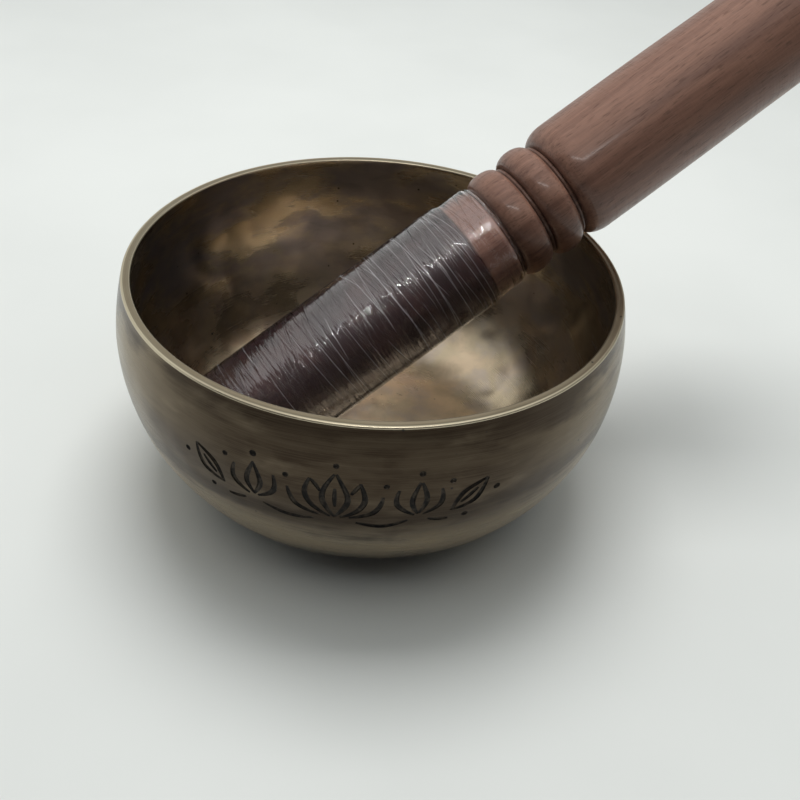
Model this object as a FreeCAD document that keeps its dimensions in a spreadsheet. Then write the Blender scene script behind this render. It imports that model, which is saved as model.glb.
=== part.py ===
import FreeCAD, Part
import math
import os
import Sketcher

# A hand-hammered singing bowl with its leather-wrapped mallet leaning in it.
# Millimetres, +Z up; the origin is the centre of the bowl's flat foot, and the
# ornamented front of the bowl faces -Y.

SIZES = {
    # bowl
    "rim_radius": 62.5,         # outside of the lip
    "bowl_height": 59.5,
    "bulge": 2.6,               # how far the belly stands out past the rim
    "belly_drop": 16.5,         # from the rim down to the widest level
    "foot_radius": 32.0,        # flat that the bowl stands on
    "heel_relief": 4.3,         # how much less than a quarter circle the tighter arc below is
    "wall": 2.2,
    "lip_round": 0.7,
    # mallet, in the order of its stations from the tip
    "core_radius": 12.9,        # wood under the leather
    "tip_round": 4.0,
    "bare_tip": 4.0,            # wood left bare below the leather
    "leather_length": 80.6,
    "leather_wall": 2.0,
    "leather_edge": 0.8,
    "collar_length": 8.6,
    "collar_step": 0.55,        # from the leather down to the collar
    "collar_round": 2.3,        # from the collar down to the neck
    "neck_length": 1.6,
    "bead_one_length": 8.9,
    "bead_one_radius": 15.15,
    "bead_two_length": 9.6,
    "bead_two_radius": 15.5,
    "groove_radius": 13.0,
    "shoulder_length": 6.5,
    "shoulder_curve": 7.0,
    "handle_radius": 16.0,
    "handle_length": 78.0,
    "handle_end_radius": 15.4,
    "end_round": 7.0,
    # clear film over the leather
    "film_wall": 0.15,
    "film_tuck": 0.8,           # onto the bare tip
    "film_foot": 0.5,
    "wrap_gap": 0.05,           # between wood, leather and film
    # how the mallet lies in the bowl
    "heading": 26.5,            # degrees from +X towards +Y
    "side_offset": 1.3,         # its axis passes this far from the bowl's axis
    "tip_reach": 2.0,           # it touches this far outside the flat floor
    "rest_gap": 0.3,            # to the bowl's floor and to its lip
}


class Size:
    """A number that remembers the formula over the spreadsheet that gives it."""

    def __init__(self, value, formula):
        self.value = value
        self.formula = formula

    def combine(self, other, sign, value):
        right = other.formula if isinstance(other, Size) else repr(other)
        return Size(value, f"({self.formula} {sign} {right})")

    def __add__(self, other):
        return self.combine(other, "+", self.value + number(other))

    def __sub__(self, other):
        return self.combine(other, "-", self.value - number(other))

    def __mul__(self, other):
        return self.combine(other, "*", self.value * number(other))

    def __truediv__(self, other):
        return self.combine(other, "/", self.value / number(other))

    def __lt__(self, other):
        return self.value < other.value


def number(size):
    return size.value if isinstance(size, Size) else float(size)


def root(size):
    return Size(math.sqrt(size.value), f"sqrt{size.formula}")


doc = FreeCAD.newDocument("SingingBowl")
sheet = doc.addObject("Spreadsheet::Sheet", "Sizes")
for row, (alias, value) in enumerate(SIZES.items(), start=1):
    sheet.set(f"A{row}", alias)
    sheet.set(f"B{row}", str(value))
    sheet.setAlias(f"B{row}", alias)
doc.recompute()

size = {alias: Size(float(sheet.get(alias)), f"Sizes.{alias}") for alias in SIZES}


# Outlines and turned bodies ------------------------------------------------

def new_body(name):
    body = doc.addObject("PartDesign::Body", name)
    body.Label = name
    return body


def arc_between(start, end, radius):
    """The short arc from start to end that bows to the left of that direction,
    or to the right when the radius is negative."""
    chord = end - start
    bow = math.copysign(1, radius)
    rise = math.sqrt(radius ** 2 - (chord.Length / 2) ** 2)
    left = FreeCAD.Vector(-chord.y, chord.x, 0).normalize()
    centre = (start + end) / 2 - left * (bow * rise)
    middle = centre + left * (bow * abs(radius))
    return Part.Arc(start, middle, end)


def outline(body, name, corners):
    """A closed sketch on the XZ plane. Each corner is (radius, station, curve):
    curve is None for a straight edge to the next corner, or (arc radius, side)."""
    sketch = body.newObject("Sketcher::SketchObject", name)
    plane = next(f for f in body.Origin.OriginFeatures if f.Role == "XZ_Plane")
    sketch.AttachmentSupport = [(plane, "")]
    sketch.MapMode = "FlatFace"
    spots = [FreeCAD.Vector(number(across), number(along), 0) for across, along, _ in corners]
    for index, (_, _, curve) in enumerate(corners):
        start = spots[index]
        end = spots[(index + 1) % len(spots)]
        if curve is None:
            sketch.addGeometry(Part.LineSegment(start, end))
        else:
            sketch.addGeometry(arc_between(start, end, curve[0].value * curve[1]))
    for index, (across, along, curve) in enumerate(corners):
        before = corners[index - 1][2]
        first = 2 if bows_left(curve) else 1
        last = 1 if bows_left(before) else 2
        sketch.addConstraint(Sketcher.Constraint(
            "Coincident", (index - 1) % len(corners), last, index, first))
        place(sketch, index, first, across, "X", -2)
        place(sketch, index, first, along, "Y", -1)
        if curve is not None:
            bind(sketch, Sketcher.Constraint("Radius", index, curve[0].value), curve[0])
    return sketch


def bows_left(curve):
    """Such an arc runs clockwise, and a sketch stores it the other way round."""
    return curve is not None and curve[1] > 0


def backwards(run):
    """The same run of corners walked the other way."""
    arrivals = [None] + [curve for _, _, curve in run[:-1]]
    flipped = [curve and (curve[0], -curve[1]) for curve in arrivals]
    return [(across, along, curve) for (across, along, _), curve in zip(run, flipped)][::-1]


def place(sketch, index, end, distance, letter, axis):
    """Fix one end of an edge at its distance from the origin, or on an axis."""
    if number(distance) == 0:
        sketch.addConstraint(Sketcher.Constraint("PointOnObject", index, end, axis))
        return
    constraint = Sketcher.Constraint(
        f"Distance{letter}", -1, 1, index, end, distance.value)
    bind(sketch, constraint, distance)


def bind(sketch, constraint, distance):
    added = sketch.addConstraint(constraint)
    sketch.setExpression(f"Constraints[{added}]", distance.formula)


def turned(name, corners):
    """A body made by turning an outline about its own Z axis."""
    body = new_body(name)
    sketch = outline(body, f"{name}_outline", corners)
    turning = body.newObject("PartDesign::Revolution", f"{name}_turning")
    turning.Profile = sketch
    turning.ReferenceAxis = (sketch, ["V_Axis"])
    turning.Angle = 360
    doc.recompute()
    return body, turning


def round_edges(body, base, rings, radius):
    """Round the circular edges of base whose (radius, height) is in rings."""
    names = []
    for index, edge in enumerate(base.Shape.Edges, start=1):
        for across, along in rings:
            circle = edge.Curve
            if not isinstance(circle, Part.Circle):
                continue
            level = circle.Center.z
            if abs(circle.Radius - across) < 0.01 and abs(level - along) < 0.01:
                names.append(f"Edge{index}")
    if len(names) != len(rings):
        raise ValueError(f"{body.Label}: {len(names)} of {len(rings)} edges to round")
    fillet = body.newObject("PartDesign::Fillet", f"{body.Label}_rounding")
    fillet.Base = (base, names)
    fillet.setExpression("Radius", radius.formula)
    doc.recompute()


# Bowl ----------------------------------------------------------------------

def wide_arc(short, long, tight):
    """Radius of the arc that meets an arc of radius tight smoothly, where the
    two make a quarter oval of those half-widths and tight ends the short one."""
    return (short * short + long * long - long * tight * 2) / ((short - tight) * 2)


def bowl():
    """A shell of even wall. The outside is a flat foot, a heel arc, a side arc
    up to the widest level and a rim arc; the inside runs parallel to it."""
    wall = size["wall"]
    height = size["bowl_height"]
    foot = size["foot_radius"]
    drop = size["belly_drop"]
    bulge = size["bulge"]
    widest = size["rim_radius"] + bulge
    level = height - drop
    run = widest - foot
    if run < level:
        heel = run - size["heel_relief"]
        side = wide_arc(run, level, heel)
    else:
        side = level - size["heel_relief"]
        heel = wide_arc(level, run, side)
    upper = (drop * drop + bulge * bulge) / (bulge * 2)
    side_centre = widest - side
    joint = side / (side - heel)
    joint_in = (side - wall) / (side - heel)
    reach = foot - side_centre
    rise = heel - level
    lip_inside = widest - upper + root((upper - wall) * (upper - wall) - drop * drop)

    corners = [
        (0, 0, None),
        (foot, 0, (heel, -1)),
        (side_centre + reach * joint, level + rise * joint, (side, -1)),
        (widest, level, (upper, -1)),
        (size["rim_radius"], height, None),
        (lip_inside, height, (upper - wall, 1)),
        (widest - wall, level, (side - wall, 1)),
        (side_centre + reach * joint_in, level + rise * joint_in, (heel - wall, 1)),
        (foot, wall, None),
        (0, wall, None),
    ]
    body, turning = turned("bowl", corners)
    rings = [
        (size["rim_radius"].value, height.value),
        (lip_inside.value, height.value),
    ]
    round_edges(body, turning, rings, size["lip_round"])
    return body, heel.value


# Mallet --------------------------------------------------------------------

def stations():
    """Places along the mallet, from its tip."""
    place_of = {"leather_start": size["bare_tip"]}
    place_of["leather_end"] = place_of["leather_start"] + size["leather_length"]
    place_of["collar_end"] = place_of["leather_end"] + size["collar_length"]
    place_of["bead_one"] = place_of["collar_end"] + size["neck_length"]
    place_of["bead_two"] = place_of["bead_one"] + size["bead_one_length"]
    place_of["handle"] = place_of["bead_two"] + size["bead_two_length"]
    place_of["grip"] = place_of["handle"] + size["shoulder_length"]
    place_of["end"] = place_of["grip"] + size["handle_length"]
    return place_of


def radii():
    """Radii that follow from one another, outward from the core."""
    leather_inside = size["core_radius"] + size["wrap_gap"]
    leather = leather_inside + size["leather_wall"]
    collar = leather - size["collar_step"]
    return {
        "leather_inside": leather_inside,
        "leather": leather,
        "collar": collar,
        "neck": collar - size["collar_round"],
    }


def bead_curve(length, crown, low):
    """Radius of the arc over a bead of that length that rises from low to crown."""
    rise = crown - low
    half = length / 2
    return (half * half + rise * rise) / (rise * 2)


def mallet_wood(at, radius):
    """One turned piece: tip and core, collar, two beads and the handle."""
    core = size["core_radius"]
    tip = size["tip_round"]
    neck = radius["neck"]
    groove = size["groove_radius"]
    collar = radius["collar"]
    collar_round = size["collar_round"]
    end_round = size["end_round"]
    bead_one = bead_curve(size["bead_one_length"], size["bead_one_radius"], groove)
    bead_two = bead_curve(size["bead_two_length"], size["bead_two_radius"], groove)
    collar_start = at["leather_end"] + size["wrap_gap"]
    corners = [
        (0, 0, None),
        (core - tip, 0, (tip, -1)),
        (core, tip, None),
        (core, collar_start, None),
        (collar, collar_start, None),
        (collar, at["collar_end"] - collar_round, (collar_round, -1)),
        (neck, at["collar_end"], None),
        (neck, at["bead_one"], None),
        (groove, at["bead_one"], (bead_one, -1)),
        (groove, at["bead_two"], (bead_two, -1)),
        (groove, at["handle"], (size["shoulder_curve"], -1)),
        (size["handle_radius"], at["grip"], None),
        (size["handle_end_radius"], at["end"] - end_round, (end_round, -1)),
        (size["handle_end_radius"] - end_round, at["end"], None),
        (0, at["end"], None),
    ]
    body, _ = turned("mallet_wood", corners)
    return body, corners


def mallet_leather(at, radius):
    """A sleeve round the core, its outer edges rounded."""
    inside = radius["leather_inside"]
    outside = radius["leather"]
    start = at["leather_start"]
    end = at["leather_end"]
    corners = [
        (inside, start, None),
        (outside, start, None),
        (outside, end, None),
        (inside, end, None),
    ]
    body, turning = turned("mallet_leather", corners)
    rings = [(outside.value, start.value), (outside.value, end.value)]
    round_edges(body, turning, rings, size["leather_edge"])
    return body


def mallet_film(at, radius):
    """Clear film: over the bare tip's edge, the leather and the collar, to the neck."""
    gap = size["wrap_gap"]
    film = size["film_wall"]
    edge = size["leather_edge"]
    neck = radius["neck"]
    core = size["core_radius"]
    leather = radius["leather"]
    collar = radius["collar"]
    collar_round = size["collar_round"]
    collar_turn = at["collar_end"] - collar_round
    foot = size["film_foot"]

    def face(offset):
        """One face of the film, that far from what it covers."""
        start = at["leather_start"] - offset
        turn = collar_round + offset
        return [
            (core + offset, at["leather_start"] - size["film_tuck"], None),
            (core + offset, start, None),
            (leather - edge, start, (edge + offset, -1)),
            (leather + offset, at["leather_start"] + edge, None),
            (leather + offset, at["leather_end"] - edge, None),
            (collar + offset, at["leather_end"] + edge, None),
            (collar + offset, collar_turn, (turn, -1)),
            (neck + foot, collar_turn + root(turn * turn - foot * foot), None),
        ]

    outer = face(gap + film)
    body, _ = turned("mallet_film", face(gap) + backwards(outer))
    return body, outer


# How the mallet lies ---------------------------------------------------------

def trace(corners):
    """Points (station, radius) along a run of corners, with its arcs."""
    points = []
    for (across, along, curve), following in zip(corners, corners[1:] + [None]):
        start = FreeCAD.Vector(number(across), number(along), 0)
        points.append((start.y, start.x))
        if curve is not None:
            end = FreeCAD.Vector(number(following[0]), number(following[1]), 0)
            arc = arc_between(start, end, curve[0].value * curve[1])
            points += [(spot.y, spot.x) for spot in arc.toShape().discretize(13)[1:-1]]
    return points


def silhouette(wood_corners, film_corners):
    """The outside of the mallet from tip to end, as (station, radius)."""
    wood = trace(wood_corners)
    film = trace(film_corners)
    before = [spot for spot in wood if spot[0] < film[0][0]]
    after = [spot for spot in wood if spot[0] > film[-1][0]]
    return before + film + after


def gap_to_outline(points, along, across):
    """Distance from a place beside the mallet to its silhouette."""
    nearest = math.inf
    for (s0, r0), (s1, r1) in zip(points, points[1:]):
        ds = s1 - s0
        dr = r1 - r0
        share = ((along - s0) * ds + (across - r0) * dr) / max(ds * ds + dr * dr, 1e-12)
        share = min(max(share, 0.0), 1.0)
        gap = math.hypot(along - s0 - share * ds, across - r0 - share * dr)
        if gap < nearest:
            nearest = gap
            outward = ds * (across - r0) - dr * (along - s0) >= 0
    return nearest if outward else -nearest


def lie_down(points, lean, heel):
    """Foot of the mallet's axis, for a lean in radians above the horizontal:
    its lowest point is the rest gap above the floor, just where that turns up."""
    low, contact = min(
        (s * math.sin(lean) - r * math.cos(lean), s * math.cos(lean) + r * math.sin(lean))
        for s, r in points
    )
    reach = size["tip_reach"].value
    inside = heel - size["wall"].value
    upturn = inside - math.sqrt(inside ** 2 - reach ** 2)
    along = -size["foot_radius"].value - reach - contact
    height = size["wall"].value + upturn + size["rest_gap"].value - low
    return along, height


def lip_gap(points, lean, heel):
    """Smallest distance between the mallet and the rounded lip at that lean."""
    along, height = lie_down(points, lean, heel)
    rounding = size["lip_round"].value
    offset = size["side_offset"].value
    outer = size["rim_radius"].value - rounding
    inner = size["rim_radius"].value - size["wall"].value + rounding
    level = size["bowl_height"].value - rounding
    smallest = math.inf
    for ring in (outer, inner):
        for step in range(-60, 61):
            turn = math.radians(step / 2)
            ahead = ring * math.cos(turn) - along
            aside = ring * math.sin(turn) - offset
            above = level - height
            station = ahead * math.cos(lean) + above * math.sin(lean)
            across = math.hypot(above * math.cos(lean) - ahead * math.sin(lean), aside)
            smallest = min(smallest, gap_to_outline(points, station, across) - rounding)
    return smallest


def resting_place(points, heel):
    """Lean at which the mallet just clears the lip, as a placement. A low lean
    would sink it into the lip, and a steep one would lift it off."""
    low = math.radians(10)
    high = math.radians(75)
    for _ in range(40):
        lean = (low + high) / 2
        if lip_gap(points, lean, heel) < size["rest_gap"].value:
            low = lean
        else:
            high = lean
    along, height = lie_down(points, high, heel)
    heading = math.radians(size["heading"].value)
    offset = size["side_offset"].value
    foot = FreeCAD.Vector(
        along * math.cos(heading) - offset * math.sin(heading),
        along * math.sin(heading) + offset * math.cos(heading),
        height,
    )
    turn = FreeCAD.Rotation(math.degrees(heading), 90 - math.degrees(high), 0)
    return FreeCAD.Placement(foot, turn), math.degrees(high)


# Build, check and write ------------------------------------------------------

at = stations()
radius = radii()
wood, wood_corners = mallet_wood(at, radius)
film, film_corners = mallet_film(at, radius)
shell, heel = bowl()
bodies = [shell, wood, mallet_leather(at, radius), film]
lying, lean = resting_place(silhouette(wood_corners, film_corners), heel)
for body in bodies[1:]:
    body.Placement = lying
doc.recompute()

for item in doc.Objects:
    if "Invalid" in item.State or "Error" in item.State:
        raise RuntimeError(f"{item.Label} failed: {item.State}")
for body in bodies:
    if body.Shape.isNull() or not body.Shape.isValid() or len(body.Shape.Solids) != 1:
        raise RuntimeError(f"{body.Label} has no valid single solid")

os.makedirs("parts", exist_ok=True)
for body in bodies:
    body.Shape.exportStep(f"parts/{body.Label}.step")
    print(f"{body.Label}: {body.Shape.Volume / 1000:.2f} cm3")
print(f"mallet lean {lean:.2f} degrees, foot {tuple(round(v, 2) for v in lying.Base)}")
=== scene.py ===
import bpy
import math
import random
from mathutils import Euler, Matrix, Vector, noise


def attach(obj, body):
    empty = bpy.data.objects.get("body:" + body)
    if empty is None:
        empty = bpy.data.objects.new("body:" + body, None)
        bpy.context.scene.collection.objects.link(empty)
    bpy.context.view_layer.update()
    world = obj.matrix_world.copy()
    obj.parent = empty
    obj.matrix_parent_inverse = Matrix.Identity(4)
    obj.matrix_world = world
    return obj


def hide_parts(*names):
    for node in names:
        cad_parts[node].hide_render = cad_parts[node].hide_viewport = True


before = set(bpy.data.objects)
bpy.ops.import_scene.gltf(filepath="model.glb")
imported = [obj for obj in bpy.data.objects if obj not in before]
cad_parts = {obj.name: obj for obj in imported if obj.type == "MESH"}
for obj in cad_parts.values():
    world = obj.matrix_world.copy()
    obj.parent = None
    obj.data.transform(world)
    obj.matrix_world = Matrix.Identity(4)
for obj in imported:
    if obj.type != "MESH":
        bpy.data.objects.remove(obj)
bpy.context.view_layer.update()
mm = 0.001
print("frame loaded")


# small helpers

def deselectAll():
    if bpy.context.object and bpy.context.object.mode != "OBJECT":
        bpy.ops.object.mode_set(mode="OBJECT")
    bpy.ops.object.select_all(action="DESELECT")


def pick(piece):
    deselectAll()
    piece.select_set(True)
    bpy.context.view_layer.objects.active = piece


def arcPoints(centre, radius, startAngle, endAngle, spacing):
    # points on an arc in the (radius, height) plane, both ends included
    count = max(2, round(abs(endAngle - startAngle) * radius / spacing))
    angles = [startAngle + (endAngle - startAngle) * i / count for i in range(count + 1)]
    return [(centre[0] + radius * math.cos(a), centre[1] + radius * math.sin(a)) for a in angles]


def linePoints(start, end, spacing):
    count = max(1, round(math.dist(start, end) / spacing))
    return [tuple(a + (b - a) * i / count for a, b in zip(start, end)) for i in range(count + 1)]


def joinRuns(*runs):
    # one profile from several, without the doubled points where they meet
    profile = []
    for run in runs:
        for point in run:
            if not profile or math.dist(profile[-1], point) > 0.002 * mm:
                profile.append(point)
    return profile


def turnPiece(name, profile, steps):
    # draw the profile as a chain of vertices and spin it round the Z axis
    deselectAll()
    bpy.ops.mesh.primitive_plane_add(size=1 * mm, location=(0, 0, 0))
    piece = bpy.context.object
    piece.name = name
    bpy.ops.object.mode_set(mode="EDIT")
    bpy.ops.mesh.select_all(action="SELECT")
    bpy.ops.mesh.merge(type="CENTER")
    bpy.ops.transform.translate(value=(profile[0][0], 0, profile[0][1]))
    for (r0, z0), (r1, z1) in zip(profile, profile[1:]):
        bpy.ops.mesh.extrude_vertices_move(
            TRANSFORM_OT_translate={"value": (r1 - r0, 0, z1 - z0)})
    bpy.ops.mesh.select_all(action="SELECT")
    bpy.ops.mesh.spin(steps=steps, angle=2 * math.pi, center=(0, 0, 0), axis=(0, 0, 1))
    bpy.ops.mesh.select_all(action="SELECT")
    bpy.ops.mesh.remove_doubles(threshold=0.001 * mm)
    bpy.ops.mesh.normals_make_consistent(inside=False)
    bpy.ops.object.mode_set(mode="OBJECT")
    bpy.ops.object.shade_smooth()
    return piece


def applyModifier(piece, modifier):
    pick(piece)
    bpy.ops.object.modifier_apply(modifier=modifier.name)


# material helpers

def newMaterial(name):
    material = bpy.data.materials.new(name)
    material.use_nodes = True
    return material, material.node_tree, material.node_tree.nodes["Principled BSDF"]


def addNode(tree, kind, inputs=None, **settings):
    node = tree.nodes.new(kind)
    for key, value in settings.items():
        setattr(node, key, value)
    for key, value in (inputs or {}).items():
        if isinstance(value, bpy.types.NodeSocket):
            tree.links.new(value, node.inputs[key])
        else:
            node.inputs[key].default_value = value
    return node


def mathNode(tree, operation, *values):
    node = tree.nodes.new("ShaderNodeMath")
    node.operation = operation
    for index, value in enumerate(values):
        if isinstance(value, bpy.types.NodeSocket):
            tree.links.new(value, node.inputs[index])
        else:
            node.inputs[index].default_value = value
    return node.outputs[0]


def mixColours(tree, mask, first, second):
    node = tree.nodes.new("ShaderNodeMix")
    node.data_type = "RGBA"
    for socket, value in ((node.inputs[0], mask), (node.inputs[6], first), (node.inputs[7], second)):
        if isinstance(value, bpy.types.NodeSocket):
            tree.links.new(value, socket)
        elif isinstance(value, tuple):
            socket.default_value = (*value, 1)
        else:
            socket.default_value = value
    return node.outputs[2]


def spread(tree, value, low, high, newLow=0.0, newHigh=1.0):
    node = addNode(tree, "ShaderNodeMapRange", {
        "Value": value, "From Min": low, "From Max": high, "To Min": newLow, "To Max": newHigh})
    node.interpolation_type = "SMOOTHSTEP"
    return node.outputs["Result"]


def addNoise(tree, place, scale, detail, roughness=0.5, distortion=0.0):
    return addNode(tree, "ShaderNodeTexNoise", {
        "Vector": place, "Scale": scale, "Detail": detail, "Roughness": roughness,
        "Distortion": distortion}).outputs[0]


def axisRadius(tree, parts):
    # distance from the Z axis
    squares = [mathNode(tree, "MULTIPLY", parts[i], parts[i]) for i in (0, 1)]
    return mathNode(tree, "SQRT", mathNode(tree, "ADD", *squares))


def splitPlace(tree, place):
    return addNode(tree, "ShaderNodeSeparateXYZ", {0: place}).outputs


def newGroup(name, inputs, outputs):
    group = bpy.data.node_groups.new(name, "ShaderNodeTree")
    for label, kind, value in inputs:
        socket = group.interface.new_socket(label, in_out="INPUT", socket_type=kind)
        if value is not None:
            socket.default_value = value
    for label, kind in outputs:
        group.interface.new_socket(label, in_out="OUTPUT", socket_type=kind)
    return group, group.nodes.new("NodeGroupInput").outputs, group.nodes.new("NodeGroupOutput").inputs


def useGroup(tree, group, **inputs):
    node = tree.nodes.new("ShaderNodeGroup")
    node.node_tree = group
    for key, value in inputs.items():
        if isinstance(value, bpy.types.NodeSocket):
            tree.links.new(value, node.inputs[key])
        else:
            node.inputs[key].default_value = value
    return node.outputs


# shared effects

def makeRingLines():
    # lines that run round the turning axis, as from a scraper or a lathe tool
    group, given, result = newGroup("ringLines", [
        ("Place", "NodeSocketVector", None),
        ("Across", "NodeSocketFloat", 2000.0),
        ("Along", "NodeSocketFloat", 40.0),
        ("Detail", "NodeSocketFloat", 4.0),
    ], [("Mask", "NodeSocketFloat")])
    parts = splitPlace(group, given["Place"])
    reach = mathNode(group, "ADD", axisRadius(group, parts), parts[2])
    across = mathNode(group, "MULTIPLY", reach, given["Across"])
    vector = addNode(group, "ShaderNodeCombineXYZ", {
        0: mathNode(group, "MULTIPLY", parts[0], given["Along"]),
        1: mathNode(group, "MULTIPLY", parts[1], given["Along"]),
        2: across}).outputs[0]
    group.links.new(addNoise(group, vector, 1.0, given["Detail"], 0.6), result["Mask"])
    return group


def makeBlotches():
    # soft patches, wider than they are high
    group, given, result = newGroup("blotches", [
        ("Place", "NodeSocketVector", None),
        ("Size", "NodeSocketFloat", 0.02),
        ("Flatness", "NodeSocketFloat", 2.0),
        ("Shift", "NodeSocketFloat", 0.0),
        ("Low", "NodeSocketFloat", 0.4),
        ("High", "NodeSocketFloat", 0.6),
    ], [("Mask", "NodeSocketFloat")])
    across, deep, high = (mathNode(group, "DIVIDE", part, given["Size"])
                          for part in splitPlace(group, given["Place"]))
    high = mathNode(group, "MULTIPLY", high, given["Flatness"])
    vector = addNode(group, "ShaderNodeCombineXYZ", {
        0: across, 1: deep, 2: mathNode(group, "ADD", given["Shift"], high)}).outputs[0]
    patches = addNoise(group, vector, 1.0, 4.0, 0.55, 0.3)
    group.links.new(spread(group, patches, given["Low"], given["High"]), result["Mask"])
    return group


ringLines = makeRingLines()
blotches = makeBlotches()


def addPatches(tree, place, size, flatness, shift, low, high):
    return useGroup(tree, blotches, Place=place, Size=size, Flatness=flatness, Shift=shift,
                    Low=low, High=high)["Mask"]


print("shared effects ready")


# bowl

bowlSizes = {
    "rimRadius": 62.5 * mm,
    "height": 59.5 * mm,
    "bulge": 2.6 * mm,
    "bellyDrop": 16.5 * mm,
    "footRadius": 32.0 * mm,
    "heelRelief": 4.3 * mm,
    "wall": 2.2 * mm,
    "lipRound": 0.5 * mm,
    "lipDip": 0.14 * mm,
    "lipMiddle": 1.14 * mm,      # from the rim's outside in to the middle of the lip
    "lipLand": 0.25 * mm,        # half of the flat between the lip's two edges
    "lipTurn": 0.3,              # angle at which each lip edge starts to round over
    "lipLine": 0.45 * mm,        # the filed finish starts this far below the top
    "steps": 288,
    "spacing": 1.3 * mm,
}


def bowlArcs(sizes):
    # widest radius, its level, and the radii of the heel, side and upper arcs
    widest = sizes["rimRadius"] + sizes["bulge"]
    level = sizes["height"] - sizes["bellyDrop"]
    run = widest - sizes["footRadius"]
    heel = run - sizes["heelRelief"]
    side = (run ** 2 + level ** 2 - 2 * level * heel) / (2 * (run - heel))
    upper = (sizes["bellyDrop"] ** 2 + sizes["bulge"] ** 2) / (2 * sizes["bulge"])
    return widest, level, heel, side, upper


def bowlProfile(sizes):
    widest, level, heel, side, upper = bowlArcs(sizes)
    wall = sizes["wall"]
    heelCentre = (sizes["footRadius"], heel)
    sideCentre = (widest - side, level)
    upperCentre = (widest - upper, level)
    turn = math.atan2(heelCentre[1] - sideCentre[1], heelCentre[0] - sideCentre[0])
    spacing = sizes["spacing"]
    lipRound = sizes["lipRound"]
    top = sizes["height"]

    def rimAngle(radius, height):
        return math.asin((height - level) / radius)

    outerEnd = rimAngle(upper, top - lipRound)
    innerEnd = rimAngle(upper - wall, top - lipRound)
    outerLip = upperCentre[0] + upper * math.cos(outerEnd)
    innerLip = upperCentre[0] + (upper - wall) * math.cos(innerEnd)
    foot = sizes["footRadius"]
    fine = lipRound / 3
    lipMiddle = (outerLip + innerLip) / 2
    land, lipTurn, dip = sizes["lipLand"], sizes["lipTurn"], top - sizes["lipDip"]
    return joinRuns(
        linePoints((0, 0), (foot, 0), 2.5 * spacing),
        arcPoints(heelCentre, heel, -math.pi / 2, turn, spacing),
        arcPoints(sideCentre, side, turn, 0, spacing),
        arcPoints(upperCentre, upper, 0, outerEnd, spacing),
        arcPoints((outerLip - lipRound, top - lipRound), lipRound, lipTurn, math.pi / 2, fine),
        [(lipMiddle + land, dip), (lipMiddle - land, dip)],
        arcPoints((innerLip + lipRound, top - lipRound), lipRound, math.pi / 2, math.pi - lipTurn, fine),
        arcPoints(upperCentre, upper - wall, innerEnd, 0, spacing),
        arcPoints(sideCentre, side - wall, 0, turn, spacing),
        arcPoints(heelCentre, heel - wall, turn, -math.pi / 2, spacing),
        linePoints((foot, wall), (0, wall), 1.5 * spacing),
    )


def bowlSide(sizes, height):
    # outside radius of the bowl at a height above the heel
    widest, level, _, side, upper = bowlArcs(sizes)
    curve = upper if height > level else side
    return widest - curve + math.sqrt(curve ** 2 - (height - level) ** 2)


def onInside(place, normal):
    # true where the bowl faces its axis, or faces up from its floor
    facing = normal.x * place.x + normal.y * place.y
    onFloor = normal.z > 0.5 and math.hypot(place.x, place.y) < bowlSizes["rimRadius"] * 0.9
    return facing < 0 or onFloor


hammerMarks = {
    "outsideSize": 15 * mm,
    "outsideDepth": 0.22 * mm,
    "insideSize": 10 * mm,
    "insideDepth": 0.36 * mm,
    "dentLevel": 0.35,
    "waveSize": 2.2,            # broader unevenness, as shares of the dents
    "waveDepth": 1.4,
    "lipFree": 3.5 * mm,        # worked smooth below the lip
    "lipShare": 0.15,
    "footFree": 0.6 * mm,
    "footFade": 3.0 * mm,
}


def displace(piece, group, texture, depth, level):
    modifier = piece.modifiers.new(texture.name, "DISPLACE")
    modifier.texture = texture
    modifier.texture_coords = "LOCAL"
    modifier.strength = depth
    modifier.mid_level = level
    modifier.vertex_group = group
    applyModifier(piece, modifier)


def hammerBowl(piece, sizes, marks):
    # shallow dents inside and out, fading out at the lip and at the foot
    inside = piece.vertex_groups.new(name="inside")
    outside = piece.vertex_groups.new(name="outside")
    top = sizes["height"]
    for vertex, normal in zip(piece.data.vertices, piece.data.vertex_normals):
        place = vertex.co
        inner = onInside(place, normal.vector)
        fade = min(1, max(0, (top - place.z) / marks["lipFree"] - marks["lipShare"]))
        if not inner:
            fade *= min(1, max(0, (place.z - marks["footFree"]) / marks["footFade"]))
        (inside if inner else outside).add([vertex.index], fade, "REPLACE")
    for group in ("outside", "inside"):
        size, depth = marks[group + "Size"], marks[group + "Depth"]
        dents = bpy.data.textures.new(group + "Dents", "VORONOI")
        dents.noise_scale = size
        dents.distance_metric = "DISTANCE_SQUARED"
        displace(piece, group, dents, depth, marks["dentLevel"])
        waves = bpy.data.textures.new(group + "Waves", "CLOUDS")
        waves.noise_scale = size * marks["waveSize"]
        displace(piece, group, waves, depth * marks["waveDepth"], 0.5)


# carved band: lotus flowers and leaves, chiselled by hand

bandSizes = {
    "centreTurn": -5.0,          # degrees round from the front, + to the right
    "centreHeight": 41.0 * mm,
    "chisel": 0.72 * mm,         # radius of the cut
    "lift": 0.16 * mm,           # centre of the cut above the surface
    "wobble": 0.18,              # unsteadiness of the hand, in mm
    "dots": (0.75 * mm, 0.95 * mm),
    "dotLift": 0.3 * mm,
}

# half of the band, as distances across and up in mm; the other half mirrors it

lotusStrokes = [
    [(0, -6.4), (1.9, -3.6), (2.9, -0.4), (2.0, 3.2), (0, 6.6)],
    [(1.0, -6.3), (4.4, -4.6), (6.4, -0.8), (6.2, 2.2), (5.2, 4.6)],
    [(5.2, 4.6), (4.0, 3.0), (3.3, 1.4)],
    [(3.2, -6.4), (7.0, -5.2), (9.4, -2.4), (10.0, 0.9)],
]

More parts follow.
